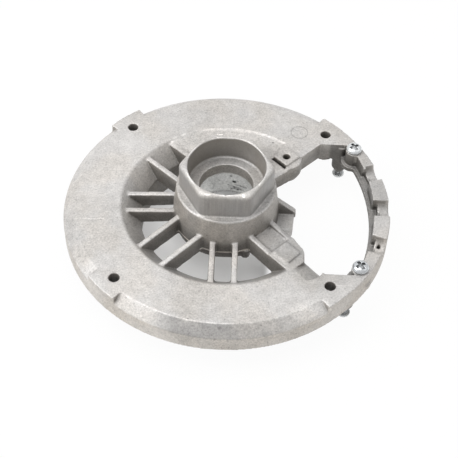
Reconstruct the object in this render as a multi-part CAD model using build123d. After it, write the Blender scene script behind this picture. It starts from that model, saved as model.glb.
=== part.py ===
from build123d import *
from math import cos, hypot, radians, sin, sqrt
import os

# Motor end shield: a die-cast aluminium disc that closes one end of a motor.
# A bearing hub stands in the middle on five pairs of ribs, the windows between
# the ribs let air through, and a wide terminal opening takes the right side.
# The origin is on the bearing axis, in the plane of the disc's flat top face.
# Z points out of the bearing seat, and +X points at the terminal opening.

# Disc and rim
disc_radius = 85.0
rim_depth = 13.6
rim_wall = 4.0
plate_thickness = 5.0
bevel_width = 6.0
bevel_depth = 4.8
underside_chamfer = 3.0

# Window cone and the ring wall below it
window_radius = 55.0
ring_radius = 45.0
ring_wall = 3.6
ring_depth = 24.4
ring_draft = 0.4
window_depth = 10.6
window_edge_chamfer = 0.5
ring_wall_start_angle = 56.0
ring_wall_end_angle = 310.0

# Fixing holes and the lugs round them
fixing_hole_inset = 9.5
fixing_circle_diameter = 2 * (disc_radius - fixing_hole_inset)
fixing_hole_diameter = 5.5
fixing_boss_radius = 6.5
lug_half_angle = 6.7
lug_turn = -1.3
land_half_angle = 51.7

# Bearing hub
hub_top = 27.3
hub_shoulder = 12.5
hub_bottom = -14.0
hub_radius_at_shoulder = 25.9
hub_radius_at_face = 27.4
hub_ledge_height = -9.0
hub_ledge_width = 0.9
hub_radius_at_bottom = 26.4
hub_flat_distance = 21.7
hub_corner_radius = 4.6
hub_edge_round = 2.4
hub_draft = 0.3
hub_shoulder_chamfer = 0.5
bearing_diameter = 40.0
bearing_seat_depth = 13.8
bearing_seat_chamfer = 0.7
shaft_hole_diameter = 27.8
shaft_lip_thickness = 6.5
relief_diameter = 40.4
ejector_boss_radius = 2.4
ejector_boss_angles = (-65.0, -160.0, 115.0)

# How far a rib, web or wall is sunk into the body that carries it
root = 2.5

# Ribs
rib_thickness = 3.0
rib_edge_round = 0.4
square_rib_offset = 5.8
square_rib_hub_top = -1.2
square_rib_outer_top = -2.6
square_rib_hub_bottom = -8.6
square_rib_outer_bottom = -10.9
diagonal_rib_offset = 8.4
diagonal_rib_hub_top = 1.3
diagonal_rib_outer_top = -1.5
diagonal_rib_hub_bottom = -9.8
diagonal_rib_outer_bottom = -11.4
box_rib_offset = 7.2

# Terminal opening
opening_half_width = 45.6
opening_diagonal = 5.0
opening_arc_radius = 100.0
ring_width = 7.5
opening_arc_x = disc_radius - ring_width
opening_depth = 10.6
opening_wall = 3.5
opening_hub_x = 18.0
ledge_width = 1.7
ledge_shift = 1.2
ledge_height = -8.0
ring_bulge_inset = 4.6
ring_bulge_radius = disc_radius - ring_bulge_inset
ring_bulge_shift = 5.7
ring_bulge_direction = -10.0
ring_bulge_angles = (-45.0, 25.0)

# Notches in the right-hand ring
notch_angles = (18.0, 0.0, -18.0)
notch_radius = 5.4
notch_scoop_length = 5.0
notch_step_radius = disc_radius - notch_scoop_length
notch_floor = -7.6
notch_tab_width = 1.6
notch_tab_thickness = 3.0
blow_hole_width = 2.8
blow_hole_length = 2.2
blow_hole_depth = 4.0
blow_hole_place = (notch_step_radius + 2.5, 2.1)

# Back sector between hub and disc
sector_hub_height = -2.0
sector_outer_height = -0.5
sector_thickness = 4.5
sector_end_x = 31.2
sector_pad_corner = (27.9, 40.4)

# Square pad with a screw hole, behind the terminal opening
pad_side = 10.0
pad_centre = (31.8, 34.9)
pad_height = 0.4
pad_hole_diameter = 3.9
pad_hole_depth = 9.0
pad_slot_width = 1.1
pad_slot_depth = 3.8
pad_hook_length = 2.0
pad_hook_width = 0.8
pad_boss_radius = 8.5
pad_boss_tip_radius = 6.8
pad_boss_taper = 3.5
pad_boss_bottom = -12.6
pad_ledge_height = -0.9
hub_wall_start = (20.0, 15.1)
hub_wall_end = (36.0, 28.2)
hub_wall_thickness = 3.2
hub_wall_height = -1.5

# Box in front of the terminal opening
box_floor_height = -1.0
box_step_height = -2.2
box_step_distance = 28.0
box_frame_distance = 40.6
box_frame_edge = window_radius / sqrt(2)
box_frame_x = box_frame_edge + 2.0
box_frame_ease = 0.6
box_frame_rear_y = 6.7 - box_frame_edge
box_frame_corner_y = 3.5 - box_frame_edge
box_frame_front_y = 0.9 - box_frame_edge
box_frame_front = (box_frame_edge - 3.3, -box_frame_edge - 4.6)
box_frame_toe = (box_frame_edge - 5.9, -box_frame_edge - 8.1)
box_plate_thickness = 4.0
box_pad_side = 10.5
box_pad_height = 0.8
box_pad_round = 1.6
box_pad_inset = 9.1
box_pad_distance = window_radius - box_pad_inset
box_pad_shift = -1.1

# Ramp down to the terminal opening
ramp_angle = 23.5
ramp_foot_gap = 0.9
ramp_foot_radius = window_radius + ramp_foot_gap
ramp_length = 10.1
ramp_head_radius = ramp_foot_radius + ramp_length
ramp_direction = -50.6
ramp_side_angle = 1.3
ramp_corner = (48.2, -47.4)

# Gusset and small shelf on the hub
gusset_front = 0.5
gusset_thickness = 3.4
gusset_length = 9.7
gusset_hub_height = 0.6
gusset_nose_height = -6.3
gusset_nose_chamfer = 1.1
shelf_height = -8.4
shelf_reach = 36.3
shelf_draft = 1.1
shelf_end_y = -12.4
shelf_corner = 1.9
shelf_slope_start = 2.6
shelf_slope_drop = 1.6

# Terminal screws: the upper pair goes in from above, the lower pair from below.
# The head's profile is given as shares of its radius and of its height.
upper_screw_inset = 8.8
upper_screw_x = opening_arc_x - upper_screw_inset
upper_screw_y = 41.8
upper_boss_radius = 4.4
upper_boss_step = 2.0
upper_head_diameter = 8.4
upper_head_height = 2.4
upper_thread_diameter = 4.0
upper_screw_length = 9.0
upper_screw_gap = 0.8
lower_screw_inset = 15.0
lower_screw_x = opening_arc_x - lower_screw_inset
lower_screw_y = 48.9
lower_boss_radius = 4.3
lower_boss_bottom = -22.8
lower_boss_taper = 3.8
lower_boss_tip_radius = 2.0
lower_head_diameter = 6.6
lower_head_height = 2.4
lower_thread_diameter = 3.0
lower_screw_length = 10.0
rear_lower_screw_gap = 1.9
front_lower_screw_gap = 3.0
lower_hole_spare = 1.0
thread_clearance = 0.1
head_profile = ((0.36, 1.0), (0.72, 0.9), (0.86, 0.73), (1.0, 0.4), (1.0, 0.0))
recess_width = 0.2
recess_reach = 0.62
recess_depth = 0.55
recess_turn = 30.0

# Ejector mark on the disc
mark_centre = (38.9, 54.3)
mark_radius = 4.8
mark_line = 0.5
mark_depth = 0.25

# Reach of a cutting body past the face that it cuts
past = 5.0


def polar(radius, angle):
    """Point on a circle about the bearing axis."""
    return (radius * cos(radians(angle)), radius * sin(radians(angle)))


def diagonal_point(distance, side, direction=-45.0):
    """Point at a distance along a direction and a distance to its left side."""
    x = distance * cos(radians(direction)) - side * sin(radians(direction))
    y = distance * sin(radians(direction)) + side * cos(radians(direction))
    return (x, y)


def prism(points, bottom, top):
    """Upright solid with a straight-sided outline."""
    face = make_face(Polyline(*points, close=True))
    return extrude(Pos(0, 0, bottom) * face, amount=top - bottom)


def cylinder(radius, bottom, top, x=0.0, y=0.0):
    """Upright round solid between two heights."""
    return Pos(x, y, bottom) * extrude(Circle(radius), amount=top - bottom)


def turned(points):
    """Solid turned about the bearing axis from points of radius and height."""
    return revolve(make_face(Plane.XZ * Polyline(*points, close=True)), Axis.Z)


def wedge(start, end, radius, bottom, top):
    """Slice of a cylinder between two angles."""
    steps = 12
    reach = radius / cos(radians((end - start) / steps / 2))
    rim = [polar(reach, start + (end - start) * i / steps) for i in range(steps + 1)]
    return prism([(0, 0)] + rim, bottom, top)


def disc():
    """Flat annular plate with its bevel, rim, window cone and ring wall."""
    slope = hypot(window_radius - ring_radius, window_depth)
    out_x = window_depth / slope * rim_wall
    out_z = (window_radius - ring_radius) / slope * rim_wall
    run = (window_radius - ring_radius) / window_depth
    under_x = window_radius + out_x - (plate_thickness - out_z) * run
    ring_outer = ring_radius + ring_wall
    under_z = -out_z - (window_radius + out_x - ring_outer) / run
    rim_inner = disc_radius - rim_wall
    edge_x = window_edge_chamfer * (window_radius - ring_radius) / slope
    edge_z = window_edge_chamfer * window_depth / slope
    profile = [
        (window_radius - edge_x, -edge_z),
        (window_radius + window_edge_chamfer, 0),
        (disc_radius - bevel_width, 0),
        (disc_radius, -bevel_depth),
        (disc_radius, -rim_depth),
        (rim_inner, -rim_depth),
        (rim_inner, -plate_thickness - underside_chamfer),
        (rim_inner - underside_chamfer, -plate_thickness),
        (under_x, -plate_thickness),
        (ring_outer, under_z),
        (ring_outer, -ring_depth),
        (ring_radius - ring_draft, -ring_depth),
        (ring_radius, -window_depth),
    ]
    body = turned(profile)
    missing = wedge(ring_wall_end_angle - 360, ring_wall_start_angle, window_radius,
                    -ring_depth - past, -window_depth)
    return body - missing


def lugs():
    """Flat lands that fill the bevel at the fixing holes and along the right side."""
    inner = disc_radius - bevel_width - past
    profile = [
        (inner, 0),
        (disc_radius, 0),
        (disc_radius, -rim_depth),
        (disc_radius - rim_wall, -rim_depth),
        (disc_radius - rim_wall, -plate_thickness),
        (inner, -plate_thickness),
    ]
    ring = turned(profile)
    reach = disc_radius + past
    pieces = [ring & wedge(-land_half_angle, land_half_angle, reach, -ring_depth, past)]
    for middle in (135 + lug_turn, 225):
        slice_body = wedge(middle - lug_half_angle, middle + lug_half_angle, reach,
                           -ring_depth, past)
        pieces.append(ring & slice_body)
    return pieces


def fixing_points():
    """Centres of the four fixing holes."""
    return [polar(fixing_circle_diameter / 2, angle) for angle in (45, 135, 225, 315)]


def fixing_bosses():
    """Deep bosses under the plate that carry the fixing holes."""
    return [cylinder(fixing_boss_radius, -rim_depth, -plate_thickness / 2, x, y)
            for x, y in fixing_points()]


def fixing_holes():
    """Clearance holes through the bosses."""
    radius = fixing_hole_diameter / 2
    return [cylinder(radius, -rim_depth - past, past, x, y) for x, y in fixing_points()]


def hub_outside():
    """Tapered lower drum, and a rounded hexagon above its shoulder."""
    radius_at_ledge = hub_radius_at_face + hub_draft
    drum = turned([
        (0, hub_shoulder),
        (hub_radius_at_shoulder - hub_shoulder_chamfer, hub_shoulder),
        (hub_radius_at_shoulder, hub_shoulder - hub_shoulder_chamfer),
        (hub_radius_at_face, 0),
        (radius_at_ledge, hub_ledge_height),
        (radius_at_ledge - hub_ledge_width, hub_ledge_height),
        (hub_radius_at_bottom, hub_bottom),
        (0, hub_bottom),
    ])
    outline = RegularPolygon(hub_flat_distance, 6, major_radius=False)
    outline = fillet(outline.vertices(), hub_corner_radius)
    hexagon = extrude(Pos(0, 0, hub_bottom / 2) * outline, amount=hub_top - hub_bottom / 2)
    top_edges = hexagon.edges().group_by(Axis.Z)[-1]
    return drum + fillet(top_edges, hub_edge_round)


def ejector_bosses():
    """Small round bosses at the foot of the hub, left by the ejector pins."""
    bosses = []
    for angle in ejector_boss_angles:
        x, y = polar(hub_radius_at_bottom, angle)
        bosses.append(cylinder(ejector_boss_radius, hub_bottom, hub_ledge_height, x, y))
    return bosses


def hub_inside():
    """Bearing seat from above, the shaft hole through its lip, and the relief below."""
    seat = bearing_diameter / 2
    lip_top = hub_top - bearing_seat_depth
    lip_bottom = lip_top - shaft_lip_thickness
    seat_cut = turned([
        (0, lip_top),
        (seat - bearing_seat_chamfer, lip_top),
        (seat, lip_top + bearing_seat_chamfer),
        (seat, hub_top + past),
        (0, hub_top + past),
    ])
    hole = cylinder(shaft_hole_diameter / 2, hub_bottom - past, hub_top)
    relief = cylinder(relief_diameter / 2, hub_bottom - past, lip_bottom)
    return [seat_cut, hole, relief]


def rib(direction, side, heights, end_radius):
    """One rib from inside the hub wall into the window cone."""
    hub_top_z, outer_top_z, hub_bottom_z, outer_bottom_z = heights
    start = sqrt(hub_radius_at_bottom ** 2 - side ** 2) - root
    top_end = sqrt(end_radius ** 2 - side ** 2)
    bottom_end = sqrt((ring_radius + ring_wall / 2) ** 2 - side ** 2)
    slope = (outer_top_z - hub_top_z) / (window_radius - hub_radius_at_face)
    top_at_end = hub_top_z + slope * (end_radius - hub_radius_at_face)
    points = [
        (start, hub_top_z),
        (top_end, top_at_end),
        (bottom_end, outer_bottom_z),
        (start, hub_bottom_z),
    ]
    face = make_face(Plane.XZ * Polyline(*points, close=True))
    body = extrude(face, amount=rib_thickness / 2, both=True)
    middle = Vector((start + top_end) / 2, 0, (hub_top_z + top_at_end) / 2)
    along = [e for e in body.edges() if abs(e.center().Y) > rib_thickness / 4]
    top_pair = ShapeList(along).sort_by_distance(middle)[0:2]
    body = fillet(top_pair, rib_edge_round)
    return Rot(0, 0, direction) * Pos(0, side, 0) * body


def ribs():
    """Five pairs of ribs, each pair parallel to the direction between its ribs."""
    square = (square_rib_hub_top, square_rib_outer_top,
              square_rib_hub_bottom, square_rib_outer_bottom)
    slanted = (diagonal_rib_hub_top, diagonal_rib_outer_top,
               diagonal_rib_hub_bottom, diagonal_rib_outer_bottom)
    end = window_radius + root / 2
    bodies = []
    for side in (-1, 1):
        bodies.append(rib(180, side * square_rib_offset, square, end))
        bodies.append(rib(270, side * square_rib_offset, square, end))
        bodies.append(rib(135, side * diagonal_rib_offset, slanted, end))
        bodies.append(rib(225, side * diagonal_rib_offset, slanted, end))
    bodies.append(rib(315, -box_rib_offset, slanted, end))
    bodies.append(rib(315, box_rib_offset, slanted, box_frame_distance + root))
    return bodies


def sector_outline(spare=0.0):
    """Outline of the sloping back sector, with a spare width on the opening's side."""
    reach = window_radius + past
    rib_side = -diagonal_rib_offset
    half = pad_side / sqrt(2)
    x, y = pad_centre
    return [
        diagonal_point(0, rib_side, 135),
        diagonal_point(reach, rib_side, 135),
        (-reach / 2, reach + past),
        (sector_end_x, reach + past),
        (sector_end_x, ring_radius),
        sector_pad_corner,
        (x - half, y),
        (x, y - half),
        (x, x - opening_diagonal - spare),
        (opening_diagonal + spare, 0),
    ]


def back_sector():
    """Closed wall behind the hub that slopes gently down to it."""
    inner = hub_radius_at_bottom - root
    outer = window_radius + root / 2
    wall = turned([
        (inner, sector_hub_height),
        (outer, sector_outer_height),
        (outer, -plate_thickness),
        (ring_radius + ring_wall / 2, -sector_thickness - plate_thickness),
        (inner, sector_hub_height - sector_thickness),
    ])
    closed = prism(sector_outline(), -window_depth, past)
    return wall & closed


def sector_recess():
    """Body that lowers the sector's face a little below the disc."""
    above = turned([
        (0, sector_hub_height),
        (hub_radius_at_bottom - root, sector_hub_height),
        (window_radius, sector_outer_height),
        (window_radius, past),
        (0, past),
    ])
    return above & prism(sector_outline(2 * past), sector_hub_height - past, past)


def corner_plate():
    """Flat plate under the square pad, between the sector and the terminal opening."""
    x, y = pad_centre
    half = pad_side / sqrt(2)
    edge = opening_half_width + opening_diagonal
    inner = hub_radius_at_bottom / sqrt(2)
    points = [
        (inner, inner - opening_diagonal),
        (edge, opening_half_width),
        (edge, opening_half_width + past),
        (sector_end_x - past, opening_half_width + past),
        (x - half - past, y),
        (inner - past, inner),
    ]
    return prism(points, -plate_thickness, 0)


def arc_x(y, inset=0.0):
    """X of the ring's inner arc at a height across the opening."""
    radius = opening_arc_radius - inset
    return opening_arc_x - opening_arc_radius + sqrt(radius ** 2 - y ** 2)


def opening_face(inset=0.0, grow=0.0):
    """Plan of the terminal opening, with an inset right arc, or grown all round."""
    half = opening_half_width
    corner = half + opening_diagonal
    frame = box_frame_points()
    near = opening_hub_x
    left = [
        (corner, half),
        (near, near - opening_diagonal),
        (near, 0),
        diagonal_point(near, box_rib_offset + rib_thickness / 2),
    ]
    left += frame[:3]
    left += [(box_frame_x, opening_diagonal - box_frame_x), (corner, -half)]
    shift = ledge_shift if inset > 0 else 0
    rear_x = arc_x(half + shift, inset)
    front_x = arc_x(half - shift, inset)
    path = Polyline((rear_x, half), *left, (front_x, -half))
    middle = (arc_x(shift, inset), 0)
    arc = ThreePointArc((front_x, -half), middle, (rear_x, half))
    face = make_face(path + arc)
    if grow > 0:
        face = offset(face, amount=grow, kind=Kind.ARC)
    return face


def box_frame_points():
    """Outline of the box's frame, from the right-hand rib round to the left-hand one."""
    outer = box_rib_offset + rib_thickness / 2
    return [
        diagonal_point(box_frame_distance, outer),
        (box_frame_x - box_frame_ease, box_frame_rear_y + 3 * box_frame_ease),
        (box_frame_x, box_frame_rear_y),
        (box_frame_x, box_frame_corner_y),
        (box_frame_x, box_frame_front_y),
        (box_frame_x - box_frame_ease, box_frame_front_y - 2 * box_frame_ease),
        box_frame_front,
        box_frame_toe,
        diagonal_point(window_radius - root / 2, -outer),
        diagonal_point(box_frame_distance, -outer),
    ]


def opening_flange():
    """Wall round the terminal opening, as deep as the window cone."""
    wall = extrude(Pos(0, 0, -opening_depth) * opening_face(grow=opening_wall),
                   amount=opening_depth)
    inside = cylinder(disc_radius - rim_wall / 2, -opening_depth, 0)
    edge = box_frame_x - opening_wall / 2
    outer = box_rib_offset + rib_thickness / 2
    hub_side = prism([
        (0, -edge),
        diagonal_point(box_frame_distance, outer - past),
        diagonal_point(box_frame_distance, outer),
        (edge, outer * sqrt(2) - edge),
        (edge, edge - 2 * opening_diagonal),
        (opening_hub_x, edge - 2 * opening_diagonal),
        (0, opening_hub_x),
    ], -opening_depth - past, past)
    return (wall & inside) - hub_side


def upper_edge_wall():
    """Deeper stretch of the opening's edge, from the disc in to the pad."""
    inner = pad_centre[0]
    outer = opening_half_width
    shift = opening_wall * sqrt(2)
    points = [
        (inner + opening_diagonal, inner),
        (outer + opening_diagonal, outer),
        (outer + opening_diagonal - shift, outer),
        (inner + opening_diagonal - shift, inner),
    ]
    return prism(points, -opening_depth, sector_hub_height)


def hub_wall():
    """Straight wall from the hub to the pad, with the deep boss under the pad's hole."""
    x0, y0 = hub_wall_start
    x1, y1 = hub_wall_end
    length = hypot(x1 - x0, y1 - y0)
    side_x = (y1 - y0) / length * hub_wall_thickness
    side_y = (x1 - x0) / length * hub_wall_thickness
    wall = prism([(x0, y0), (x1, y1), (x1 - side_x, y1 + side_y), (x0 - side_x, y0 + side_y)],
                 -opening_depth, hub_wall_height)
    x, y = pad_centre
    boss = turned([
        (0, pad_ledge_height),
        (pad_boss_radius, pad_ledge_height),
        (pad_boss_radius, pad_boss_bottom + pad_boss_taper),
        (pad_boss_tip_radius, pad_boss_bottom),
        (0, pad_boss_bottom),
    ])
    return [wall, Pos(x, y, 0) * boss]


def pad_ledge_cut():
    """Body that lowers the plate beside the pad down to the ledge."""
    x, y = pad_centre
    half = pad_side / sqrt(2)
    reach = 2 * opening_diagonal
    points = [
        (x - reach, y - half - reach),
        (x, y - half),
        (x + half, y),
        (x + half + reach, y),
        (x + half + reach, y - half - reach),
    ]
    return prism(points, pad_ledge_height, past)


def ring_bulge():
    """Outward bulge of the rim along the right-hand ring."""
    x, y = polar(ring_bulge_shift, ring_bulge_direction)
    band = cylinder(ring_bulge_radius, -rim_depth, 0, x, y)
    band -= cylinder(ring_bulge_radius - rim_wall, -rim_depth - past, past, x, y)
    start, end = ring_bulge_angles
    return band & wedge(start, end, disc_radius + past, -ring_depth, past)


def right_ring():
    """Solid ring that closes the terminal opening on the right."""
    ring = cylinder(disc_radius, -opening_depth, 0)
    ring -= cylinder(opening_arc_radius - 2 * ledge_width, -opening_depth - past, past,
                     opening_arc_x - opening_arc_radius, 0)
    reach = opening_half_width + opening_wall
    keep = prism([(arc_x(reach) - 5 * past, -reach), (2 * disc_radius, -reach),
                  (2 * disc_radius, reach), (arc_x(reach) - 5 * past, reach)],
                 -opening_depth, 0)
    return ring & keep


def opening_cuts():
    """Terminal opening: narrower below its ledge, wider above it."""
    low = extrude(Pos(0, 0, -ring_depth - past) * opening_face(inset=ledge_width),
                  amount=ring_depth + 2 * past)
    high = extrude(Pos(0, 0, ledge_height) * opening_face(), amount=past - ledge_height)
    return [low, high]


def notches():
    """Round scoops across the ring, each with a square recess at its inner end."""
    cuts = []
    recess_start = opening_arc_x - past
    for angle in notch_angles:
        scoop = Rot(0, 90, 0) * Cylinder(notch_radius, 4 * past)
        scoop = Pos(notch_step_radius + 2 * past, 0, 0) * scoop
        recess = prism([
            (recess_start, -notch_radius),
            (notch_step_radius, -notch_radius),
            (notch_step_radius, notch_radius),
            (recess_start, notch_radius),
        ], notch_floor, past)
        if angle == notch_angles[0]:
            recess -= notch_tab()
        cuts.append(Rot(0, 0, angle) * scoop)
        cuts.append(Rot(0, 0, angle) * recess)
    return cuts


def notch_tab():
    """Metal that overhangs the rear notch's recess at the top."""
    edge = notch_radius - notch_tab_width
    reach = notch_radius + past
    start = opening_arc_x - past
    return prism([(start, edge), (notch_step_radius, edge), (notch_step_radius, reach),
                  (start, reach)], -notch_tab_thickness, past)


def blow_hole():
    """Small three-sided casting fault in the side of the front notch."""
    x, y = blow_hole_place
    half = blow_hole_width / 2
    points = [(x - half, y), (x + half, y), (x, y + blow_hole_length)]
    hole = prism(points, -notch_radius - blow_hole_depth, -notch_radius / 4)
    return Rot(0, 0, notch_angles[-1]) * hole


def upper_pad():
    """Square pad beside the terminal opening."""
    x, y = pad_centre
    pad = extrude(Pos(0, 0, -plate_thickness) * Rot(0, 0, 45) * Rectangle(pad_side, pad_side),
                  amount=plate_thickness + pad_height)
    return Pos(x, y, 0) * pad


def upper_pad_cuts():
    """Screw hole in the pad, and the narrow hooked slot at its foot."""
    x, y = pad_centre
    hole = cylinder(pad_hole_diameter / 2, pad_height - pad_hole_depth, past, x, y)
    edge = pad_side / 2
    slot = prism([
        (-edge - pad_slot_width, -edge),
        (-edge, -edge),
        (-edge, edge),
        (-edge - pad_slot_width - pad_hook_length, edge),
        (-edge - pad_slot_width - pad_hook_length, edge - pad_hook_width),
        (-edge - pad_slot_width, edge - pad_hook_width),
    ], -pad_slot_depth, past)
    return [hole, Pos(x, y, 0) * Rot(0, 0, 45) * slot]


def box():
    """Closed floor between the last two ribs, and its frame with a raised pad."""
    side = box_rib_offset
    near = hub_radius_at_bottom - root
    thickness = box_plate_thickness
    low = prism([diagonal_point(near, -side), diagonal_point(near, side),
                 diagonal_point(box_frame_distance, side),
                 diagonal_point(box_frame_distance, -side)],
                box_floor_height - thickness, box_step_height)
    floor = prism([diagonal_point(box_step_distance, -side),
                   diagonal_point(box_step_distance, side),
                   diagonal_point(box_frame_distance + root, side),
                   diagonal_point(box_frame_distance + root, -side)],
                  box_floor_height - thickness, box_floor_height)
    frame = prism(box_frame_points(), box_floor_height - thickness, 0)
    x, y = diagonal_point(box_pad_distance, box_pad_shift)
    square = Rectangle(box_pad_side, box_pad_side)
    square = fillet(square.vertices(), box_pad_round)
    pad = extrude(Rot(0, 0, 45) * square, amount=box_pad_height + thickness / 2)
    return [low, floor, frame, Pos(x, y, -thickness / 2) * pad]


def ramp_points():
    """Outline of the ramp patch between the box and the terminal opening."""
    corner = opening_half_width + opening_diagonal
    return [
        polar(ramp_foot_radius, ramp_direction),
        polar(ramp_head_radius, ramp_direction - ramp_side_angle),
        polar(ramp_head_radius, ramp_direction + ramp_side_angle),
        ramp_corner,
        (corner - root / 2, -opening_half_width),
        (corner + root / 2, root - opening_half_width),
        (box_frame_x + root / 2, box_frame_corner_y + root / 2),
        (box_frame_x, box_frame_corner_y),
        (box_frame_x, box_frame_front_y),
        (box_frame_x - box_frame_ease, box_frame_front_y - 2 * box_frame_ease),
    ]


def ramp_base():
    """Thicker metal under the ramp."""
    return prism(ramp_points(), -opening_depth, 0)


def ramp_cut():
    """Body above the sloping face of the ramp."""
    patch = prism(ramp_points(), -opening_depth, past)
    x, y = polar(ramp_foot_radius, ramp_direction)
    size = 4 * opening_half_width
    above = Box(size, size, size, align=(Align.MIN, Align.CENTER, Align.MIN))
    above = Rot(0, 0, ramp_direction + 90) * Rot(0, ramp_angle, 0) * above
    return patch & (Pos(x, y, 0) * above)


def gusset():
    """Sloping web on the hub with a small shelf beside it."""
    start = hub_radius_at_face - root
    nose = hub_radius_at_face + gusset_length
    points = [
        (start, gusset_hub_height),
        (hub_radius_at_face + root / 4, gusset_hub_height),
        (nose - gusset_nose_chamfer, gusset_nose_height),
        (nose, gusset_nose_height - gusset_nose_chamfer),
        (nose, -opening_depth),
        (start, -opening_depth),
    ]
    side = make_face(Plane.XZ * Polyline(*points, close=True))
    web = extrude(side, amount=gusset_thickness / 2, both=True)
    web = Pos(0, gusset_front + gusset_thickness / 2, 0) * web
    back = gusset_front + gusset_thickness
    inside = box_rib_offset
    end_x = shelf_reach - shelf_draft
    shelf = prism([
        (hub_radius_at_face - root, back),
        (shelf_reach, back),
        (shelf_reach, gusset_front),
        (end_x, shelf_end_y),
        (end_x - shelf_corner, shelf_end_y - shelf_corner),
        diagonal_point(box_frame_distance - past, inside),
        diagonal_point(hub_radius_at_face - root, inside),
    ], -opening_depth, shelf_height)
    slope_y = shelf_end_y + shelf_slope_start
    drop = make_face(Plane.YZ * Polyline(
        (slope_y, shelf_height), (slope_y, shelf_height + past),
        (slope_y - 2 * past, shelf_height + past),
        (slope_y - 2 * past, shelf_height - 2 * past * shelf_slope_drop / shelf_slope_start),
        close=True))
    drop = extrude(drop, amount=2 * shelf_reach)
    return [web, shelf - drop]


def screw_bosses():
    """Bosses for the two upper and the two lower terminal screws."""
    bodies = []
    for side in (-1, 1):
        y = side * upper_screw_y
        bodies.append(cylinder(upper_boss_radius, -opening_depth, 0, upper_screw_x, y))
        bodies.append(cylinder(upper_boss_radius + upper_boss_step, -opening_depth, ledge_height,
                               upper_screw_x, y))
        straight = lower_boss_bottom + lower_boss_taper
        boss = turned([
            (0, -plate_thickness / 2),
            (lower_boss_radius, -plate_thickness / 2),
            (lower_boss_radius, straight),
            (lower_boss_tip_radius, lower_boss_bottom),
            (0, lower_boss_bottom),
        ])
        bodies.append(Pos(lower_screw_x, side * lower_screw_y, 0) * boss)
    return bodies


def screw_holes():
    """Tapped holes for the terminal screws, without their threads."""
    cuts = []
    upper = upper_thread_diameter / 2 + thread_clearance
    lower = lower_thread_diameter / 2 + thread_clearance
    depth = lower_screw_length - rear_lower_screw_gap + lower_hole_spare
    for side in (-1, 1):
        cuts.append(cylinder(upper, -opening_depth - past, past,
                             upper_screw_x, side * upper_screw_y))
        cuts.append(cylinder(lower, lower_boss_bottom - past, lower_boss_bottom + depth,
                             lower_screw_x, side * lower_screw_y))
    return cuts


def ejector_mark():
    """Shallow ring that an ejector pin left on the disc."""
    x, y = mark_centre
    ring = cylinder(mark_radius, -mark_depth, past, x, y)
    return ring - cylinder(mark_radius - mark_line, -mark_depth - past, 2 * past, x, y)


def casting():
    """The whole end shield as one casting."""
    body = disc()
    bodies = lugs() + fixing_bosses()
    bodies += [ring_bulge(), right_ring(), opening_flange(), ramp_base(), corner_plate()]
    body = body + bodies
    body = body - opening_cuts()
    body = body + [upper_edge_wall()]
    body = body - [pad_ledge_cut()]
    body = body + hub_wall()
    body = body - [sector_recess()]
    body = body + [back_sector(), upper_pad()] + box() + gusset()
    body = body + ribs() + [hub_outside()] + ejector_bosses() + screw_bosses()
    cuts = hub_inside() + fixing_holes() + notches() + upper_pad_cuts()
    cuts += screw_holes() + [ramp_cut(), ejector_mark(), blow_hole()]
    return body - cuts


def pan_head_screw(head_diameter, head_height, thread_diameter, length):
    """Pan-head screw with a cross recess: head up, its seat at height zero."""
    radius = head_diameter / 2
    thread = thread_diameter / 2
    tip = thread / 4
    head = [(radius * out, head_height * up) for out, up in head_profile]
    body = turned([(0, head_height)] + head + [
        (thread, 0),
        (thread, tip - length),
        (thread - tip, -length),
        (0, -length),
    ])
    arm = head_diameter * recess_reach
    width = head_diameter * recess_width
    depth = head_height * recess_depth
    cross = Box(arm, width, 2 * depth) + Box(width, arm, 2 * depth)
    return body - Pos(0, 0, head_height) * Rot(0, 0, recess_turn) * cross


def screws():
    """The four terminal screws with the names of their places."""
    placed = {}
    upper = pan_head_screw(upper_head_diameter, upper_head_height,
                           upper_thread_diameter, upper_screw_length)
    lower = pan_head_screw(lower_head_diameter, lower_head_height,
                           lower_thread_diameter, lower_screw_length)
    for name, side, gap in (("rear", 1, rear_lower_screw_gap), ("front", -1, front_lower_screw_gap)):
        place = Pos(upper_screw_x, side * upper_screw_y, upper_screw_gap)
        placed["upper_screw_" + name] = place * upper
        place = Pos(lower_screw_x, side * lower_screw_y, lower_boss_bottom - gap)
        placed["lower_screw_" + name] = place * Rot(180, 0, 0) * lower
    return placed


os.makedirs("parts", exist_ok=True)
parts = {"end_shield": casting()}
parts.update(screws())
for name, body in parts.items():
    export_step(body, "parts/" + name + ".step")
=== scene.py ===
from math import pi, radians

import bmesh
import bpy
from mathutils import Matrix, Vector


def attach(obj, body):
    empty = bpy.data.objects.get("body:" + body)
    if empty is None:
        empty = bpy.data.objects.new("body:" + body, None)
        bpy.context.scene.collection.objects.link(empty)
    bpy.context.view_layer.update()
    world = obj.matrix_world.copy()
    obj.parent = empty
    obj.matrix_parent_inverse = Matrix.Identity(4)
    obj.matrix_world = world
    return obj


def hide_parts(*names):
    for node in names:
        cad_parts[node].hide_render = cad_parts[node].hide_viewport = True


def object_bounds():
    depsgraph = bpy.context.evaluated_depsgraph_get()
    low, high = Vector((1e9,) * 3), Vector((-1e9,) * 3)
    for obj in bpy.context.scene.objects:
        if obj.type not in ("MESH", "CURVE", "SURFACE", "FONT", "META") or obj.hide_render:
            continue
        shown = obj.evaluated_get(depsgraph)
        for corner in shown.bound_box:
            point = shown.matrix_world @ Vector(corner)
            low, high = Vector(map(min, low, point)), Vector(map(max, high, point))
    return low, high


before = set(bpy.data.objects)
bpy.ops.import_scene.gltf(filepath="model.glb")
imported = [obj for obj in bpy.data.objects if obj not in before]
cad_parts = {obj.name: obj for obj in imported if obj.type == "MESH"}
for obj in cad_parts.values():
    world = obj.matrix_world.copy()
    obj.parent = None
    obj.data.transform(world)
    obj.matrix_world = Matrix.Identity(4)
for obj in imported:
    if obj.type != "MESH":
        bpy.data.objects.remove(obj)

cad_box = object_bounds()
scene = bpy.context.scene
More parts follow.
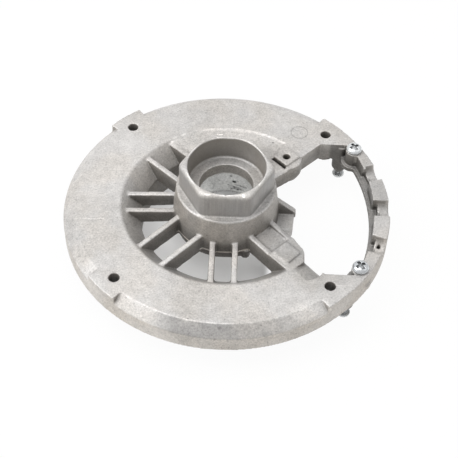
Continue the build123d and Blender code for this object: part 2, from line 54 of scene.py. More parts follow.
scene.view_settings.view_transform = "Standard"

# Table.
# A plain white table top under the part. It is matt, so the part throws a soft
# shadow on it, and it runs far past the picture on all sides.
FLOOR_REACH = 6.0
FLOOR_COLOUR = (0.88, 0.875, 0.865, 1)
FLOOR_HEIGHT = cad_box[0][2]
WHITE = (1, 1, 1, 1)
# How white the camera sees the table, in the part's shade and away from it
GLOW_IN_SHADE = 0.15
GLOW_AROUND = 0.955
# Round stretches of the table: centre, where the change starts and ends, glow inside and outside
FLOOR_ZONES = [
    ((0.004, -0.008), (0.025, 0.105), (GLOW_IN_SHADE, GLOW_AROUND)),
    ((0, 0.004), (0.013, 0.015), (GLOW_AROUND, GLOW_IN_SHADE)),
    ((0, 0.013), (0.079, 0.084), (GLOW_IN_SHADE, GLOW_AROUND)),
]
# The table is white as well below the terminal opening, past this stretch of x
SHADE_END = (0.021, 0.026)


def add_node(tree, kind, inputs=None, **settings):
    """Adds a node: settings are its properties, inputs are values or sockets by name."""
    node = tree.nodes.new(kind)
    for key, value in settings.items():
        setattr(node, key, value)
    for key, value in (inputs or {}).items():
        if isinstance(value, bpy.types.NodeSocket):
            tree.links.new(value, node.inputs[key])
        else:
            node.inputs[key].default_value = value
    return node


def calculate(tree, operation, first, second=0.0):
    """One step of arithmetic in a node tree."""
    return add_node(tree, "ShaderNodeMath", {0: first, 1: second}, operation=operation).outputs[0]


def ramp(tree, value, band, levels=(0.0, 1.0)):
    """A value carried smoothly from one level to another while it crosses a band."""
    return add_node(tree, "ShaderNodeMapRange", {"Value": value, "From Min": band[0], "From Max": band[1],
                                                 "To Min": levels[0], "To Max": levels[1]},
                    interpolation_type="SMOOTHSTEP").outputs["Result"]


def distance(tree, place, point):
    """How far a place is from a point."""
    return add_node(tree, "ShaderNodeVectorMath", {0: place, 1: point}, operation="DISTANCE").outputs["Value"]


def split(tree, vector):
    """The X, Y and Z of a vector."""
    return add_node(tree, "ShaderNodeSeparateXYZ", {0: vector}).outputs


def seen_directly(tree):
    """1 for camera, glossy and transmission rays, else 0."""
    path = add_node(tree, "ShaderNodeLightPath").outputs
    direct = calculate(tree, "MAXIMUM", path["Is Camera Ray"], path["Is Glossy Ray"])
    return calculate(tree, "MAXIMUM", direct, path["Is Transmission Ray"])


floor_mesh = bpy.data.meshes.new("table_top")
build = bmesh.new()
bmesh.ops.create_grid(build, x_segments=1, y_segments=1, size=FLOOR_REACH)
bmesh.ops.translate(build, verts=build.verts, vec=(0, 0, FLOOR_HEIGHT))
build.to_mesh(floor_mesh)
build.free()
floor = bpy.data.objects.new("table_top", floor_mesh)
scene.collection.objects.link(floor)

table_white = bpy.data.materials.new("table_white")
table_white.use_nodes = True
tree = table_white.node_tree
tree.nodes.clear()
lit = add_node(tree, "ShaderNodeBsdfDiffuse", {"Color": FLOOR_COLOUR}).outputs[0]
glow = add_node(tree, "ShaderNodeEmission", {"Color": WHITE, "Strength": 1.0}).outputs[0]
where = add_node(tree, "ShaderNodeTexCoord").outputs["Object"]
white_share = ramp(tree, split(tree, where)["X"], SHADE_END, (GLOW_IN_SHADE, GLOW_AROUND))
for centre, band, levels in FLOOR_ZONES:
    away = distance(tree, where, (*centre, FLOOR_HEIGHT))
    white_share = calculate(tree, "MAXIMUM", white_share, ramp(tree, away, band, levels))
share = calculate(tree, "MULTIPLY", seen_directly(tree), white_share)
mixed = add_node(tree, "ShaderNodeMixShader", {0: share, 1: lit, 2: glow}).outputs[0]
add_node(tree, "ShaderNodeOutputMaterial", {"Surface": mixed})
floor_mesh.materials.append(table_white)

# Light.
# A pale studio that is brightest above the part, with one large soft lamp
# overhead, a second as strong at the left and a faint one at the right.
# The studio's brightness on its dim and on its bright side, and how fast the one becomes the other
WORLD_LEVELS = (0.40, 0.68)
WORLD_BAND = (-0.4, 0.8)
WORLD_TOWARD = Vector((-0.15, 0.1, 0.95)).normalized()
LAMP_SIZE = 0.9
# Place and power of each lamp, which faces the part
LAMPS = {
    "overhead": ((-0.3, 0.05, 1.15), 7.3),
    "left_side": ((-1.1, -0.25, 0.9), 8.0),
    "right_side": ((1.2, -0.1, 0.9), 0.8),
}

world = bpy.data.worlds.new("studio")
scene.world = world
world.use_nodes = True
tree = world.node_tree
tree.nodes.clear()
toward = add_node(tree, "ShaderNodeTexCoord").outputs["Generated"]
facing = add_node(tree, "ShaderNodeVectorMath", {0: toward, 1: WORLD_TOWARD}, operation="DOT_PRODUCT")
level = ramp(tree, facing.outputs["Value"], WORLD_BAND, WORLD_LEVELS)
sky = add_node(tree, "ShaderNodeBackground", {"Color": WHITE, "Strength": level})
add_node(tree, "ShaderNodeOutputWorld", {"Surface": sky.outputs[0]})

for name, (place, power) in LAMPS.items():
    lamp = bpy.data.lights.new(name, "AREA")
    lamp.shape = "SQUARE"
    lamp.size = LAMP_SIZE
    lamp.energy = power
    lamp_object = bpy.data.objects.new(name, lamp)
    scene.collection.objects.link(lamp_object)
    lamp_object.location = place
    lamp_object.rotation_euler = (-Vector(place)).to_track_quat("-Z", "Y").to_euler()

# Camera.
# It stands in front of the part and looks down on it at about 49 degrees, with a
# slight roll, as it did for the photo.
CAMERA_PLACE = Vector((0.005847, -0.403170, 0.441147))
CAMERA_AIM = Vector((0.002258, -0.018797, 0))
CAMERA_ROLL = radians(1.861)
CAMERA_LENS = 89.66

camera_data = bpy.data.cameras.new("camera")
camera_data.lens = CAMERA_LENS
camera = bpy.data.objects.new("camera", camera_data)
scene.collection.objects.link(camera)
turn = (CAMERA_AIM - CAMERA_PLACE).to_track_quat("-Z", "Y").to_matrix().to_4x4()
camera.matrix_world = Matrix.Translation(CAMERA_PLACE) @ turn @ Matrix.Rotation(CAMERA_ROLL, 4, "Z")
scene.camera = camera

# End shield.
# One die-cast aluminium piece, shot-blasted after casting. The blasting and the
# draft of the die leave every edge a little soft, so its shell is evened out here.
SHELL_VOXEL = 0.0005
SHELL_PASSES = 3
SHELL_TRIANGLES = 190000
ALUMINIUM_WARM = (0.580, 0.554, 0.526, 1)
ALUMINIUM_COOL = (0.530, 0.516, 0.503, 1)
ALUMINIUM_HIGHLIGHT = (0.82, 0.805, 0.78, 1)
RELIEF_COLOUR = (0.56, 0.56, 0.545, 1)
# A warm tint of painted shade for upright walls
WALL_SHADE_TINT = (1.03, 1.0, 0.955, 1)
# Noise in the blasted skin, each with its scale, detail and roughness
SKIN_NOISE = {
    "broad": (42.0, 3.0, 0.5),
    "blotch": (210.0, 5.0, 0.65),
    "grain": (1050.0, 2.0, 0.8),
    "spots": (620.0, 1.0, 0.5),
    "wide": (17.0, 2.0, 0.5),
}
NOISE_MEAN = 0.5
STAIN_BAND = (0.38, 0.62)
SPARKLE_BAND = (0.5, 0.68)
SPECK_BAND = (0.66, 0.74)
BLOTCH_HEIGHT = 0.6
# Flash lines, scratches, chips and dark specks, and bright flecks of painted glint on the crown's top and
# behind the hub: start, end, width, and how much they lighten
MARKS_AND_GLINTS = [
    ((-0.0782, -0.0159, 0), (-0.0624, -0.0151, 0), 0.00035, 0.35),
    ((0.0563, -0.0531, 0), (0.0640, -0.0527, 0), 0.0003, 0.4),
    ((0.0084, -0.0704, 0), (0.0116, -0.0666, 0), 0.0003, -0.12),
    ((0.0116, -0.0666, 0), (0.0150, -0.0640, 0), 0.0003, -0.12),
    ((0.0077, -0.0218, 0.0250), (0.0081, -0.0217, 0.0165), 0.00035, -0.25),
    ((-0.0083, -0.0217, 0.0222), (-0.0083, -0.0217, 0.0185), 0.0006, -0.15),
    ((0.0242, 0.0460, -0.0007), (0.0244, 0.0460, -0.0007), 0.0008, -0.75),
    # Bright flecks of painted glint behind the hub
    ((-0.0064, 0.0508, -0.0007), (-0.0038, 0.0510, -0.0007), 0.0005, 0.7),
    ((0.0056, 0.0512, -0.0007), (0.0080, 0.0511, -0.0007), 0.0005, 0.6),
    ((-0.0312, 0.0438, -0.0006), (-0.0298, 0.0444, -0.0006), 0.0006, 0.5),
    # Bright flecks of painted glint on the crown's top
    ((-0.0056, 0.0202, 0.0271), (-0.0040, 0.0203, 0.0271), 0.0006, 0.9),
    ((0.0004, 0.0206, 0.0271), (0.0014, 0.0206, 0.0271), 0.0005, 0.9),
    ((-0.0100, -0.0204, 0.0270), (-0.0078, -0.0205, 0.0270), 0.0008, 0.8),
    ((0.0089, -0.0198, 0.0270), (0.0090, -0.0208, 0.0268), 0.0009, 1.4),
    ((0.0166, -0.0122, 0.0270), (0.0170, -0.0112, 0.0270), 0.0008, 1.1),
    ((-0.0080, -0.0252, 0.0125), (0.0080, -0.0252, 0.0125), 0.0016, -0.30),
    ((0.0332, -0.0396, 0.0002), (0.0384, -0.0338, 0.0002), 0.0008, -0.50),
    ((-0.0204, -0.0812, -0.0025), (-0.0198, -0.0813, -0.0025), 0.0009, -0.35),
    ((-0.0006, -0.0806, -0.0013), (0.0004, -0.0806, -0.0013), 0.0011, -0.3),
    ((0.0079, -0.0813, -0.0022), (0.0087, -0.0813, -0.0022), 0.0009, -0.25),
]
# The same for broad patches of painted shadow, right of the hub, on the box and on the ring, and one of
# painted light in front
SHADE_AND_LIGHT_PATCHES = [
    ((0.0460, -0.0475, 0), (0.0660, -0.0440, 0), 0.0170, -0.14),
    ((0.0260, -0.0240, 0), (0.0420, -0.0340, 0), 0.0200, -0.26),
    ((0.0280, -0.0080, -0.003), (0.0330, -0.0130, -0.003), 0.0100, -0.20),
    ((0.0200, 0.0380, 0), (0.0230, 0.0340, 0), 0.0120, -0.28),
    ((0.0700, 0.0480, 0), (0.0840, 0.0060, 0), 0.0200, -0.15),
    ((0.0840, 0.0060, 0), (0.0780, -0.0330, 0), 0.0200, -0.15),
    ((0.0270, -0.0373, 0.0008), (0.0340, -0.0373, 0.0008), 0.0090, -0.20),
    ((0.0305, -0.0205, 0), (0.0325, -0.0210, 0), 0.0040, -0.24),
    ((0.0400, -0.0700, -0.001), (0.0480, -0.0670, -0.003), 0.0080, 0.32),
]
# The same for the dark streaks in the relief behind the lip, where the effect is added
STREAKS = [
    ((0.0020, 0.0201, -0.0013), (0.0022, 0.0201, -0.0013), 0.0012, -0.68),
    ((0.0036, 0.0198, -0.0053), (0.0042, 0.0197, -0.0054), 0.0015, -0.98),
    ((0.0056, 0.0194, -0.0045), (0.0059, 0.0193, -0.0046), 0.0008, -0.45),
    ((0.0006, 0.0202, -0.0082), (0.0040, 0.0198, -0.0094), 0.0010, -0.26),
    ((0.0040, 0.0198, -0.0094), (0.0075, 0.0187, -0.0096), 0.0012, -0.41),
    ((0.0044, 0.0197, -0.0074), (0.0074, 0.0188, -0.0076), 0.0008, -0.30),
    ((0.0074, 0.0188, -0.0076), (0.0104, 0.0173, -0.0073), 0.0010, -0.45),
    ((0.0023, 0.0201, -0.0107), (0.0060, 0.0193, -0.0108), 0.0012, -0.45),
    ((0.0060, 0.0193, -0.0108), (0.0090, 0.0181, -0.0101), 0.0010, -0.34),
    ((-0.0068, 0.0190, -0.0068), (-0.0075, 0.0188, -0.0100), 0.0012, -0.22),
]


def multiply(tree, first, *others):
    """The product of several values."""
    for other in others:
        first = calculate(tree, "MULTIPLY", first, other)
    return first


def clamped(tree, value):
    """A value kept between 0 and 1."""
    return add_node(tree, "ShaderNodeClamp", {"Value": value}).outputs[0]


def above(tree, value, band):
    """0 below a band of values and 1 above it."""
    return ramp(tree, value, band)


def below(tree, value, band):
    """1 below a band of values and 0 above it."""
    return ramp(tree, value, band, (1.0, 0.0))


def by_mask(tree, mask, levels):
    """A value at one level where a mask is 0 and at another where it is 1."""
    return ramp(tree, mask, (0.0, 1.0), levels)


def vector_step(tree, operation, first, second):
    """One step of arithmetic with vectors."""
    return add_node(tree, "ShaderNodeVectorMath", {0: first, 1: second}, operation=operation).outputs[0]


def noise(tree, place, scale, detail=2.0, roughness=0.5):
    """Smooth noise over a place."""
    return add_node(tree, "ShaderNodeTexNoise", {"Vector": place, "Scale": scale, "Detail": detail,
                                                 "Roughness": roughness}).outputs["Fac"]


def blend(tree, amount, first, second, kind="MIX"):
    """Two colours mixed by an amount."""
    # Sockets 6 and 7 of this node are its two colours
    return add_node(tree, "ShaderNodeMix", {"Factor": amount, 6: first, 7: second},
                    data_type="RGBA", blend_type=kind).outputs[2]


def between(tree, amount, first, second):
    """Two values mixed by an amount."""
    # Sockets 2 and 3 of this node are its two values
    return add_node(tree, "ShaderNodeMix", {"Factor": amount, 2: first, 3: second},
                    data_type="FLOAT").outputs[0]


def toned(tree, colour, tone):
    """A colour made lighter or darker by a tone."""
    grey = add_node(tree, "ShaderNodeCombineColor", {0: tone, 1: tone, 2: tone}).outputs[0]
    return blend(tree, 1.0, colour, grey, "MULTIPLY")


def start_group(name, inputs, outputs):
    """A shader node group with its named inputs and outputs, and its entry node."""
    group = bpy.data.node_groups.new(name, "ShaderNodeTree")
    for label, value in inputs.items():
        kind = "NodeSocketVector" if isinstance(value, tuple) else "NodeSocketFloat"
        group.interface.new_socket(name=label, in_out="INPUT", socket_type=kind).default_value = value
    for label in outputs:
        group.interface.new_socket(name=label, in_out="OUTPUT", socket_type="NodeSocketFloat")
    return group, group.nodes.new("NodeGroupInput").outputs


def use_group(tree, group, inputs):
    """Places a node group in a material."""
    node = tree.nodes.new("ShaderNodeGroup")
    node.node_tree = group
    for label, value in inputs.items():
        node.inputs[label].default_value = value
    return node.outputs


# Painted shade that darkens hollows and creases, the more the further a point is closed in
cavity, given = start_group("cavity_shade", {"Reach": 0.01, "Darkest": 0.4, "Falloff": 1.0}, ["Shade"])
around = add_node(cavity, "ShaderNodeAmbientOcclusion", {"Distance": given["Reach"]}, samples=10,
                  only_local=True)
depth = calculate(cavity, "POWER", around.outputs["AO"], given["Falloff"])
shade = add_node(cavity, "ShaderNodeMapRange", {"Value": depth, "To Min": given["Darkest"]})
add_node(cavity, "NodeGroupOutput", {"Shade": shade.outputs["Result"]})

# Painted highlight along outer edges
painted_edge_highlight, given = start_group("painted_edge_highlight", {"Reach": 0.001, "Low": 0.15, "High": 0.5}, ["Edge"])
within = add_node(painted_edge_highlight, "ShaderNodeAmbientOcclusion", {"Distance": given["Reach"]}, samples=8,
                  inside=True, only_local=True)
open_side = calculate(painted_edge_highlight, "SUBTRACT", 1.0, within.outputs["AO"])
add_node(painted_edge_highlight, "NodeGroupOutput", {"Edge": ramp(painted_edge_highlight, open_side, (given["Low"], given["High"]))})

# Blasted skin of a casting: broad stains, blotches, dark specks and grain
skin, given = start_group("cast_skin", {"Mottle": 0.1, "Grain": 0.1, "Specks": 0.2},
                          ["Tone", "Stain", "Sparkle", "Height"])
where = add_node(skin, "ShaderNodeTexCoord").outputs["Object"]
found = {name: noise(skin, where, *kind) for name, kind in SKIN_NOISE.items()}
uneven = calculate(skin, "ADD", calculate(skin, "ADD", found["broad"], found["blotch"]), found["wide"])
uneven = calculate(skin, "SUBTRACT", uneven, 3 * NOISE_MEAN)
tone = calculate(skin, "ADD", multiply(skin, uneven, given["Mottle"]), 1.0)
fine = calculate(skin, "SUBTRACT", found["grain"], NOISE_MEAN)
tone = calculate(skin, "ADD", tone, multiply(skin, fine, given["Grain"]))
pit = multiply(skin, above(skin, found["spots"], SPECK_BAND), given["Specks"])
tone = calculate(skin, "SUBTRACT", tone, pit)
height = calculate(skin, "ADD", multiply(skin, found["blotch"], BLOTCH_HEIGHT), found["grain"])
add_node(skin, "NodeGroupOutput", {"Tone": tone, "Stain": above(skin, found["broad"], STAIN_BAND),
                                   "Height": height, "Sparkle": above(skin, found["grain"], SPARKLE_BAND)})

# A straight mark between two points
line_mark, given = start_group("line_mark", {"Start": (0.0, 0.0, 0.0), "End": (0.0, 0.0, 0.01),
                                             "Width": 0.0003}, ["Mark"])
where = add_node(line_mark, "ShaderNodeTexCoord").outputs["Object"]
along = vector_step(line_mark, "SUBTRACT", given["End"], given["Start"])
here = vector_step(line_mark, "SUBTRACT", where, given["Start"])
reached = add_node(line_mark, "ShaderNodeVectorMath", {0: here, 1: along}, operation="DOT_PRODUCT")
whole = add_node(line_mark, "ShaderNodeVectorMath", {0: along, 1: along}, operation="DOT_PRODUCT")
share = calculate(line_mark, "DIVIDE", reached.outputs["Value"], whole.outputs["Value"])
foot = add_node(line_mark, "ShaderNodeVectorMath", {0: along, "Scale": clamped(line_mark, share)},
                operation="SCALE").outputs["Vector"]
away = distance(line_mark, here, foot)
add_node(line_mark, "NodeGroupOutput", {"Mark": below(line_mark, away, (0.0, given["Width"]))})

cast_metal = bpy.data.materials.new("cast_aluminium")
cast_metal.use_nodes = True
tree = cast_metal.node_tree
shader = tree.nodes["Principled BSDF"]
skin_here = use_group(tree, skin, {"Mottle": 0.6, "Grain": 1.05, "Specks": 0.22})
# Painted shade in the hollows, and over a short reach in the creases
painted_hollow_shade = use_group(tree, cavity, {"Reach": 0.016, "Darkest": 0.46, "Falloff": 0.95})["Shade"]
crease = use_group(tree, cavity, {"Reach": 0.0016, "Darkest": 0.35, "Falloff": 1.6})["Shade"]
# Painted highlight along outer edges
edge_highlight = use_group(tree, painted_edge_highlight, {"Reach": 0.0012, "Low": 0.12, "High": 0.5})["Edge"]
coordinates = add_node(tree, "ShaderNodeTexCoord").outputs
where = coordinates["Object"]
x, y, z = split(tree, where)
lean_x, lean_y, lean_z = split(tree, coordinates["Normal"])
flat_place = add_node(tree, "ShaderNodeCombineXYZ", {0: x, 1: y}).outputs[0]
radius = add_node(tree, "ShaderNodeVectorMath", {0: flat_place}, operation="LENGTH").outputs["Value"]
tone = multiply(tree, skin_here["Tone"], painted_hollow_shade, crease)


def tone_within(tree, tone, mask, level):
    """A tone brought to a share of itself where a mask is 1."""
    return multiply(tree, tone, by_mask(tree, mask, (1.0, level)))


def mark_effect(tree, first, last, width, lighten):
    """How much one straight mark lightens or darkens the skin."""
    line = use_group(tree, line_mark, {"Start": first, "End": last, "Width": width})["Mark"]
    return multiply(tree, line, lighten)


# Upright walls get painted shade, deepest where they stand low, as in the windows and the terminal opening,
# while the outer wall of the rim keeps nearly all its light. Pairs here and below are bands of lean, height
# or radius in which the tone changes.
UPRIGHT_LEAN = (0.15, 0.85)
WALL_HEIGHT = (-0.006, 0.001)
WALL_SHADE_TONES = (0.45, 0.74)
OUTER_WALL = (0.0835, 0.0845)
OUTER_WALL_TONE = 0.93
upright = below(tree, lean_z, UPRIGHT_LEAN)
wall_shade_tone = ramp(tree, z, WALL_HEIGHT, WALL_SHADE_TONES)
wall_shade_tone = calculate(tree, "MAXIMUM", wall_shade_tone, ramp(tree, radius, OUTER_WALL, (0.0, OUTER_WALL_TONE)))
painted_wall_shade = multiply(tree, upright, calculate(tree, "SUBTRACT", 1.0, wall_shade_tone))
tone = multiply(tree, tone, calculate(tree, "SUBTRACT", 1.0, painted_wall_shade))

# An ejector pin has left a fine ring on the back sector
PIN_CENTRE = (0.0389, 0.0543, 0)
PIN_RADIUS = 0.0046
PIN_LINE = (0.0001, 0.0005)
PIN_LINE_DEPTH = 0.3
from_pin = calculate(tree, "SUBTRACT", distance(tree, where, PIN_CENTRE), PIN_RADIUS)
off_ring = calculate(tree, "ABSOLUTE", from_pin)
tone = calculate(tree, "SUBTRACT", tone, ramp(tree, off_ring, PIN_LINE, (PIN_LINE_DEPTH, 0.0)))

# The blasting did not take out the flash lines and chips. The painted glints and the patches of painted
# shadow and painted light are laid on in the same way.
for mark in MARKS_AND_GLINTS + SHADE_AND_LIGHT_PATCHES:
    tone = multiply(tree, tone, calculate(tree, "ADD", 1.0, mark_effect(tree, *mark)))

# The flange's upper face at the hub's foot gets painted light, which makes it pale
FLANGE_EDGE = (0.0290, 0.0293)
FLANGE_DEPTH = 0.0081
FLANGE_OFF = (0.0003, 0.0007)
FLANGE_FRONT = (-0.012, -0.011)
FLANGE_LIGHT_TONE = 3.5
off_flange = calculate(tree, "ABSOLUTE", calculate(tree, "ADD", z, FLANGE_DEPTH))
flange = multiply(tree, below(tree, radius, FLANGE_EDGE), below(tree, off_flange, FLANGE_OFF),
                  below(tree, y, FLANGE_FRONT))
tone = tone_within(tree, tone, flange, FLANGE_LIGHT_TONE)

# Fine drawing streaks run up the sides of the crown
DRAWN_STRETCH = (1.0, 1.0, 0.05)
DRAWN_SCALE = 1700.0
DRAWN_BAND = (0.35, 0.65)
DRAWN_DEPTH = (-0.13, -0.01)
CROWN_SIDE = (0.0206, 0.021)
CROWN_FOOT = (0.0125, 0.0135)
drawn = noise(tree, vector_step(tree, "MULTIPLY", where, DRAWN_STRETCH), DRAWN_SCALE)
on_crown = multiply(tree, upright, above(tree, radius, CROWN_SIDE), above(tree, z, CROWN_FOOT))
drawn = multiply(tree, on_crown, ramp(tree, drawn, DRAWN_BAND, DRAWN_DEPTH))
tone = multiply(tree, tone, calculate(tree, "ADD", 1.0, drawn))

# The walls of the right-hand ring get the darkest painted shade
RING_SHADE_TONE = 0.5
RING_LEAN = (-0.8, -0.5)
RING_LEDGE = (-0.0055, -0.0048)
RING_INNER = (0.0780, 0.0784)
RING_OUTER = (0.0812, 0.0816)
RING_START = (0.054, 0.058)
low_ring = below(tree, z, RING_LEDGE)
ring_side = calculate(tree, "MAXIMUM", below(tree, lean_x, RING_LEAN), low_ring)
ring_side = calculate(tree, "MAXIMUM", ring_side, below(tree, radius, RING_INNER))
ring_wall_shade = multiply(tree, ring_side, above(tree, x, RING_START),
                     calculate(tree, "MAXIMUM", upright, low_ring), below(tree, radius, RING_OUTER))
tone = tone_within(tree, tone, ring_wall_shade, RING_SHADE_TONE)

# The cone's wall in front lies in shade, and so does the flange's side
CONE_LEAN = (0.1, 0.6)
CONE_EDGE = (0.056, 0.0565)
CONE_TOP = (-0.0012, -0.0006)
CONE_TONE = 0.76
FLANGE_SIDE_EDGE = (0.0295, 0.0305)
FLANGE_SIDE_TOP = (-0.0098, -0.0090)
FLANGE_SIDE_TONE = 0.72
cone = multiply(tree, above(tree, lean_y, CONE_LEAN), below(tree, radius, CONE_EDGE),
                below(tree, z, CONE_TOP))
tone = tone_within(tree, tone, cone, CONE_TONE)
flange_side = multiply(tree, below(tree, radius, FLANGE_SIDE_EDGE), below(tree, z, FLANGE_SIDE_TOP))
tone = tone_within(tree, tone, flange_side, FLANGE_SIDE_TONE)

# The bevel gets painted shade in front, broken up by the mottled stains
BEVEL_START = (0.0788, 0.0794)
BEVEL_FRONT = (-0.072, -0.066)
BEVEL_FOOT = (-0.0054, -0.0046)
BEVEL_LEFT = (-0.036, -0.020)
BEVEL_RIGHT = (0.022, 0.036)
BEVEL_SHADE = (0.12, 0.3)
front_bevel_shade = multiply(tree, above(tree, radius, BEVEL_START), below(tree, y, BEVEL_FRONT),
                   above(tree, z, BEVEL_FOOT), above(tree, x, BEVEL_LEFT), below(tree, x, BEVEL_RIGHT))
front_bevel_shade = multiply(tree, front_bevel_shade, by_mask(tree, skin_here["Stain"], BEVEL_SHADE))
tone = multiply(tree, tone, calculate(tree, "SUBTRACT", 1.0, front_bevel_shade))

# Painted glints: bright flecks of painted highlight where the sector and the rim's bevel meet the plate: the
# radius of each crease, and the stretch of y in which the flecks come in
GLINT_CREASES = [(0.0551, (0.030, 0.042)), (0.0790, (-0.060, -0.068))]
CREASE_WIDTH = (0.0001, 0.0005)
GLINT_SCALE = 420.0
GLINT_BAND = (0.54, 0.64)
GLINT_TONE = 0.2
glint = above(tree, noise(tree, where, GLINT_SCALE), GLINT_BAND)
for crease_radius, stretch in GLINT_CREASES:
    off_crease = calculate(tree, "ABSOLUTE", calculate(tree, "SUBTRACT", radius, crease_radius))
    near_crease = multiply(tree, below(tree, off_crease, CREASE_WIDTH), above(tree, y, stretch))
    tone = calculate(tree, "ADD", tone, multiply(tree, near_crease, glint, GLINT_TONE))

# Inside the hub's foot, the relief behind the lip is spared the painted shade above, and it is darker towards
# its foot
RELIEF_EDGE = (0.0206, 0.0209)
RELIEF_TOP = (0.006, 0.0072)
RELIEF_FOOT = (-0.0135, -0.0115)
RELIEF_FOOT_TONE = 0.55
relief = multiply(tree, below(tree, radius, RELIEF_EDGE), below(tree, z, RELIEF_TOP))
relief_tone = multiply(tree, skin_here["Tone"], ramp(tree, z, RELIEF_FOOT, (RELIEF_FOOT_TONE, 1.0)))
for mark in STREAKS:
    relief_tone = calculate(tree, "ADD", relief_tone, mark_effect(tree, *mark))
tone = between(tree, relief, tone, relief_tone)

# The bearing seat and the lip under it are bored after casting, so they are even
BORE_EDGE = (0.0203, 0.0206)
BORE_FOOT = (0.0138, 0.0145)
BORE_SHADE_TONE = 0.88
EVENNESS = 0.65
bored = multiply(tree, below(tree, radius, BORE_EDGE), above(tree, z, BORE_FOOT))
even_share = multiply(tree, clamped(tree, calculate(tree, "ADD", bored, on_crown)), EVENNESS)
tone = between(tree, even_share, tone, calculate(tree, "DIVIDE", tone, skin_here["Tone"]))
# The bored faces take a little painted shade
tone = tone_within(tree, tone, bored, BORE_SHADE_TONE)

# Colours: warm and cool stains, a warm tint of painted shade on walls, and a pale painted highlight along
# edges and on the crown's top
EDGE_HIGHLIGHT_SHARE = (0.28, 0.9)
CROWN_HIGHLIGHT_HEIGHT = (0.0235, 0.0255)
CROWN_HIGHLIGHT_SHARE = 0.5
CROWN_TOP = (0.0262, 0.0269)
CROWN_FRONT = (-0.019, -0.012)
CROWN_TOP_HIGHLIGHT = (0.18, 0.05)
colour = blend(tree, skin_here["Stain"], ALUMINIUM_WARM, ALUMINIUM_COOL)
# Upright walls, apart from the crown, take the warm tint of painted shade
shaded_wall_share = multiply(tree, upright, calculate(tree, "SUBTRACT", 1.0, on_crown))
colour = blend(tree, shaded_wall_share, colour, blend(tree, 1.0, colour, WALL_SHADE_TINT, "MULTIPLY"))
colour = toned(tree, blend(tree, relief, colour, RELIEF_COLOUR), tone)
highlight_share = multiply(tree, edge_highlight, by_mask(tree, skin_here["Sparkle"], EDGE_HIGHLIGHT_SHARE))
# More painted highlight on the crown's top edges, and on its top face towards the front
crown_top_highlight = multiply(tree, edge_highlight, ramp(tree, z, CROWN_HIGHLIGHT_HEIGHT, (0.0, CROWN_HIGHLIGHT_SHARE)))
highlight_share = clamped(tree, calculate(tree, "ADD", highlight_share, crown_top_highlight))
crown_front_highlight = multiply(tree, above(tree, z, CROWN_TOP), ramp(tree, y, CROWN_FRONT, CROWN_TOP_HIGHLIGHT))
highlight_share = calculate(tree, "MAXIMUM", highlight_share, crown_front_highlight)
tree.links.new(blend(tree, highlight_share, colour, ALUMINIUM_HIGHLIGHT), shader.inputs["Base Color"])

# The skin is satin. It is smoother where it is bored, and smoother and more
# metallic in the relief.
STAIN_ROUGHNESS = (0.5, 0.42)
BORE_SMOOTHER = 0.12
RELIEF_SMOOTHER = 0.15
METAL_SHARE = (0.35, 0.85)
SKIN_BUMP = 0.35
SKIN_DEPTH = 0.00022
rough = by_mask(tree, skin_here["Stain"], STAIN_ROUGHNESS)
rough = calculate(tree, "SUBTRACT", rough, multiply(tree, bored, BORE_SMOOTHER))
rough = calculate(tree, "SUBTRACT", rough, multiply(tree, relief, RELIEF_SMOOTHER))
tree.links.new(rough, shader.inputs["Roughness"])
tree.links.new(by_mask(tree, relief, METAL_SHARE), shader.inputs["Metallic"])
bump = add_node(tree, "ShaderNodeBump", {"Strength": SKIN_BUMP, "Distance": SKIN_DEPTH,
                                         "Height": skin_here["Height"]})
tree.links.new(bump.outputs["Normal"], shader.inputs["Normal"])

# Points of the CAD mesh closer than this are one, and how strongly each pass eases the edges
MERGE_DISTANCE = 1e-6
EASING = 0.5


def evaluated_mesh(piece):
    """The mesh that a piece's modifiers make, which are then taken off it."""
    made = bpy.data.meshes.new_from_object(piece.evaluated_get(bpy.context.evaluated_depsgraph_get()))
    piece.modifiers.clear()
    return made


def softened_copy(node, name, voxel, passes, triangles):
    """A copy of a CAD node as an even mesh with its edges eased."""
    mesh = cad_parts[node].data.copy()
    build = bmesh.new()
    build.from_mesh(mesh)
    bmesh.ops.remove_doubles(build, verts=build.verts, dist=MERGE_DISTANCE)
    build.to_mesh(mesh)
    build.free()
    piece = bpy.data.objects.new(name, mesh)
    scene.collection.objects.link(piece)
    even = piece.modifiers.new("even", "REMESH")
    even.mode = "VOXEL"
    even.voxel_size = voxel
    soft = piece.modifiers.new("soft", "SMOOTH")
    soft.factor = EASING
    soft.iterations = passes
    piece.data = evaluated_mesh(piece)
    fewer = piece.modifiers.new("fewer", "DECIMATE")
    fewer.ratio = min(1.0, triangles / (2 * len(piece.data.polygons)))
    piece.data = evaluated_mesh(piece)
    piece.data.polygons.foreach_set("use_smooth", [True] * len(piece.data.polygons))
    piece.data.materials.clear()
    return piece


shell = softened_copy("end_shield", "end_shield_casting", SHELL_VOXEL, SHELL_PASSES, SHELL_TRIANGLES)
shell.data.materials.append(cast_metal)
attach(shell, "root")
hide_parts("end_shield")

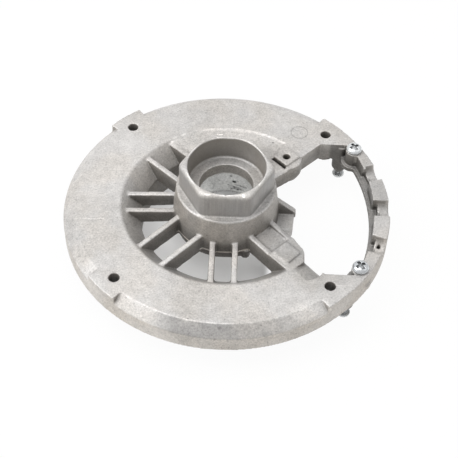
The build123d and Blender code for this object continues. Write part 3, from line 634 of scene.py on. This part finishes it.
# Terminal screws.
# Four zinc-plated steel pan-head screws with cross recesses. The upper pair goes
# in from above, and the lower pair from below into two long thin bosses.
SCREW_VOXEL = 0.00012
SCREW_PASSES = 4
SCREW_TRIANGLES = 16000
ZINC = (0.93, 0.95, 0.96, 1)
ZINC_DULL = (0.68, 0.70, 0.72, 1)
ZINC_METALLIC = 0.8
ZINC_ROUGHNESS = (0.5, 0.2)
RECESS_BAND = (0.2, 1.0)
THREAD_PITCH = 0.0006
THREAD_LEAN = (0.05, 0.2)
THREAD_BUMP = 0.6
THREAD_DEPTH = 0.0002

zinc = bpy.data.materials.new("zinc_plated_steel")
zinc.use_nodes = True
tree = zinc.node_tree
shader = tree.nodes["Principled BSDF"]
shader.inputs["Metallic"].default_value = ZINC_METALLIC
plating = use_group(tree, skin, {"Mottle": 0.3, "Grain": 0.15, "Specks": 0.0})
# Painted shade darkens the cross in the head, which is rougher as well
recess = use_group(tree, cavity, {"Reach": 0.0020, "Darkest": 0.03, "Falloff": 2.0})["Shade"]
colour = blend(tree, plating["Stain"], ZINC, ZINC_DULL)
colour = toned(tree, colour, multiply(tree, plating["Tone"], recess))
tree.links.new(colour, shader.inputs["Base Color"])
tree.links.new(ramp(tree, recess, RECESS_BAND, ZINC_ROUGHNESS), shader.inputs["Roughness"])
coordinates = add_node(tree, "ShaderNodeTexCoord").outputs
height = split(tree, coordinates["Object"])["Z"]
turns = calculate(tree, "SINE", multiply(tree, height, 2 * pi / THREAD_PITCH))
steep = calculate(tree, "ABSOLUTE", split(tree, coordinates["Normal"])["Z"])
thread = multiply(tree, turns, below(tree, steep, THREAD_LEAN))
bump = add_node(tree, "ShaderNodeBump", {"Strength": THREAD_BUMP, "Distance": THREAD_DEPTH, "Height": thread})
tree.links.new(bump.outputs["Normal"], shader.inputs["Normal"])

for node in ("upper_screw_rear", "upper_screw_front", "lower_screw_rear", "lower_screw_front"):
    screw = softened_copy(node, node + "_zinc", SCREW_VOXEL, SCREW_PASSES, SCREW_TRIANGLES)
    screw.data.materials.append(zinc)
    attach(screw, "root")
    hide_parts(node)
